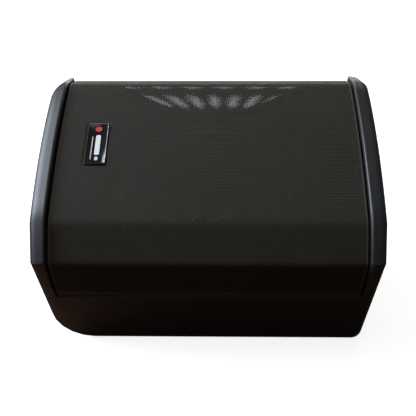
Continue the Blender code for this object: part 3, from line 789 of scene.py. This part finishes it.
for name, middle_x in KNOB_PLACES.items():
    grip = start(
        name + "_grip", "cylinder", vertices=FLUTES * 3, radius=KNOB_RADIUS, depth=KNOB_HEIGHT
    )
    grip.location = (middle_x, KNOB_ROW, KNOB_FOOT + KNOB_HEIGHT / 2)
    for vertex in grip.data.vertices:
        step = round(math.atan2(vertex.co.y, vertex.co.x) / math.tau * FLUTES * 3) % 3
        taper = 0.90 if vertex.co.z > 0 else 1.0
        flute = 0.945 if step == 0 else 1.0
        vertex.co.x *= taper * flute
        vertex.co.y *= taper * flute
    choose_faces(grip, lambda middle, normal: normal.z > 0.9)
    bpy.ops.mesh.inset(thickness=0.0011)
    bpy.ops.transform.translate(value=(0, 0, 0.0007))
    bpy.ops.mesh.inset(thickness=0.0014)
    bpy.ops.transform.translate(value=(0, 0, -0.0003))
    bpy.ops.object.mode_set(mode="OBJECT")
    soft = grip.modifiers.new("soft_edges", "BEVEL")
    soft.width = 0.0002
    soft.segments = 2
    soft.angle_limit = math.radians(35)
    soft.limit_method = "ANGLE"
    apply_all(grip)
    bpy.ops.object.shade_smooth_by_angle(angle=math.radians(40))
    settle(grip, rear_axes)
    coated(grip, knob_skin)
    handed_in(grip, name, "knob_grey", name)

    pointer = start(name + "_pointer", "cube", size=1)
    pointer.scale = (0.0011, 0.0066, 0.0004)
    pointer.location = (middle_x, KNOB_ROW + 0.0042, KNOB_FOOT + KNOB_HEIGHT + 0.0005)
    settle(pointer, Matrix())
    choose_edges(pointer, upright)
    bpy.ops.mesh.bevel(offset=0.0004, segments=2, affect="EDGES")
    bpy.ops.object.mode_set(mode="OBJECT")
    settle(pointer, rear_axes)
    coated(pointer, print_white)
    handed_in(pointer, name, "knob_grey")


# Sockets and latches: three round die-cast connectors with black insulators, two with a sprung
# thumb latch over the bore. The inputs take pins in brass sleeves, the link carries three pins.
SOCKET_PLACES = {"input_socket_a": -0.080, "input_socket_b": -0.035, "link_socket": 0.010}
SOCKET_ROW = 0.028
INSULATOR = (0.0092, 0.0040)  # radius and depth
CONTACT = (0.0013, 0.009)
CONTACTS = ((0, 0.0042), (-0.0042, -0.0026), (0.0042, -0.0026))
socket_metal = moulded(
    "socket_metal", (0.016, 0.016, 0.017), (0.026, 0.026, 0.027),
    (0.32, 0.45), 1300, 0.00004, patch=60, metallic=0.6,
)
insulator = moulded(
    "insulator_black", (0.008, 0.008, 0.008), (0.012, 0.012, 0.012),
    (0.35, 0.5), 900, 0.00002, patch=60,
)
contact_metal = moulded(
    "contact_brass", (0.50, 0.38, 0.18), (0.62, 0.50, 0.26),
    (0.22, 0.34), 1500, 0.00001, patch=90, metallic=1.0,
)
for name, middle_x in SOCKET_PLACES.items():
    refined(name, name + "_casting", socket_metal, edge=0.0005, turns=2, least=50)
    radius, depth = INSULATOR
    disc = start(name + "_insulator", "cylinder", vertices=36, radius=radius, depth=depth)
    disc.location = (middle_x, SOCKET_ROW, -0.0146)
    choose_faces(disc, lambda middle, normal: normal.z > 0.9)
    bpy.ops.mesh.inset(thickness=0.0010)
    bpy.ops.transform.translate(value=(0, 0, 0.0008))
    bpy.ops.object.mode_set(mode="OBJECT")
    settle(disc, rear_axes)
    bpy.ops.object.shade_smooth_by_angle(angle=math.radians(30))
    coated(disc, insulator)
    handed_in(disc, "cabinet", "rubber")
    for number, (x, y) in enumerate(CONTACTS, 1):
        radius, depth = CONTACT
        label = f"{name}_contact_{number}"
        pin = start(label, "cylinder", vertices=16, radius=radius, depth=depth)
        pin.location = (middle_x + x, SOCKET_ROW + y, -0.0086)
        choose_faces(pin, lambda middle, normal: normal.z > 0.9)
        if name == "link_socket":
            bpy.ops.mesh.bevel(offset=0.0005, segments=2, affect="EDGES")
        else:
            bpy.ops.mesh.inset(thickness=0.0004)
            bpy.ops.mesh.extrude_region_move(TRANSFORM_OT_translate={"value": (0, 0, -0.003)})
        bpy.ops.object.mode_set(mode="OBJECT")
        settle(pin, rear_axes)
        bpy.ops.object.shade_smooth_by_angle(angle=math.radians(30))
        coated(pin, contact_metal)
        handed_in(pin, "cabinet", "copper")
for side in "ab":
    latch, thumb = f"input_latch_{side}", f"thumb_latch_{side}"
    refined(latch, thumb, bright_zinc, edge=0.0004, turns=3, least=40)


# Mains inlet, fuse drawer, switch and lamp: glossy black glass-filled nylon snapped into the
# panel, a rocker that tips on its pin, and a small clear blue lens over the power lamp.
nylon = moulded(
    "inlet_nylon", (0.009, 0.009, 0.009), (0.014, 0.014, 0.014),
    (0.24, 0.38), 1100, 0.00003, patch=45,
)
refined("mains_inlet", "inlet_body", nylon, edge=0.0006, turns=2, least=50)
refined("fuse_drawer", "fuse_drawer_front", nylon, edge=0.0004, turns=2, least=50)
refined("switch_housing", "switch_bezel", nylon, edge=0.0005, turns=2, least=50)
refined("power_rocker", "rocker_cap", nylon, edge=0.0006, turns=3, least=30)
lens = moulded(
    "lamp_lens", (0.02, 0.10, 0.55), (0.03, 0.14, 0.70),
    (0.08, 0.16), 500, 0.00001, patch=60,
)
lens_shader = lens.node_tree.nodes["Principled BSDF"]
lens_shader.inputs["Transmission Weight"].default_value = 0.35
lens_shader.inputs["Coat Weight"].default_value = 0.6
refined("power_led", "lamp_lens_dome", lens, edge=0, sharp=50)


# Ports: two flared tubes pushed into the back from outside, moulded in the same black plastic as
# the cabinet, with a soft roll round the mouth.
port_plastic = moulded(
    "port_plastic", (0.012, 0.012, 0.013), (0.018, 0.018, 0.019),
    (0.42, 0.55), 1500, 0.00006, patch=16,
)
for side in ("left", "right"):
    tube, flare = f"port_tube_{side}", f"flared_port_{side}"
    refined(tube, flare, port_plastic, edge=0.0003, turns=2, sharp=40, least=60)


# Electronics: the green fibreglass board that carries the knobs' potentiometers behind the panel,
# and the ring transformer wound in taped copper wire.
board_green = moulded(
    "board_green", (0.010, 0.075, 0.030), (0.018, 0.110, 0.045),
    (0.35, 0.5), 1800, 0.00003, patch=35,
)
coil_copper = moulded(
    "coil_copper", (0.45, 0.19, 0.08), (0.62, 0.28, 0.12),
    (0.3, 0.45), 3000, 0.00004, patch=90, metallic=1.0,
)
finished(board_green, "control_board")
finished(coil_copper, "toroid_transformer")


# Pole socket, handle and feet: a turned cup for a 35 mm pole in one end, a rubber grip across a
# pocket in the other, and moulded rubber pads under the base and on the end it can stand on.
end_plastic = moulded(
    "end_plastic", (0.015, 0.016, 0.018), (0.022, 0.023, 0.026),
    (0.45, 0.58), 1500, 0.00008, patch=14,
)
foot_rubber = moulded(
    "foot_rubber", (0.010, 0.010, 0.010), (0.018, 0.018, 0.017),
    (0.75, 0.9), 900, 0.00010, patch=60,
)
grip_rubber = moulded(
    "grip_rubber", (0.011, 0.011, 0.011), (0.017, 0.017, 0.017),
    (0.62, 0.78), 1400, 0.00012, patch=50,
)
refined("pole_socket", "pole_cup", end_plastic, edge=0.0005, turns=2, sharp=30, least=50)
refined("handle_cup", "handle_pocket", end_plastic, edge=0.0016, turns=3, sharp=30, least=50)
refined("handle_bar", "handle_grip", grip_rubber, edge=0.0006, turns=2, sharp=30, least=50)
for name in ("end_foot_front", "end_foot_rear"):
    refined(name, name + "_pad", foot_rubber, edge=0.0006, turns=3, sharp=30, least=35)
for number in range(1, 5):
    foot, pad = f"floor_foot_{number}", f"floor_pad_{number}"
    refined(foot, pad, foot_rubber, edge=0.0006, turns=2, sharp=30, least=35)
for number in range(1, 4):
    screw, head = f"grille_screw_{number}", f"grille_screw_head_{number}"
    refined(screw, head, black_zinc, edge=0.0002, sharp=35, least=40)
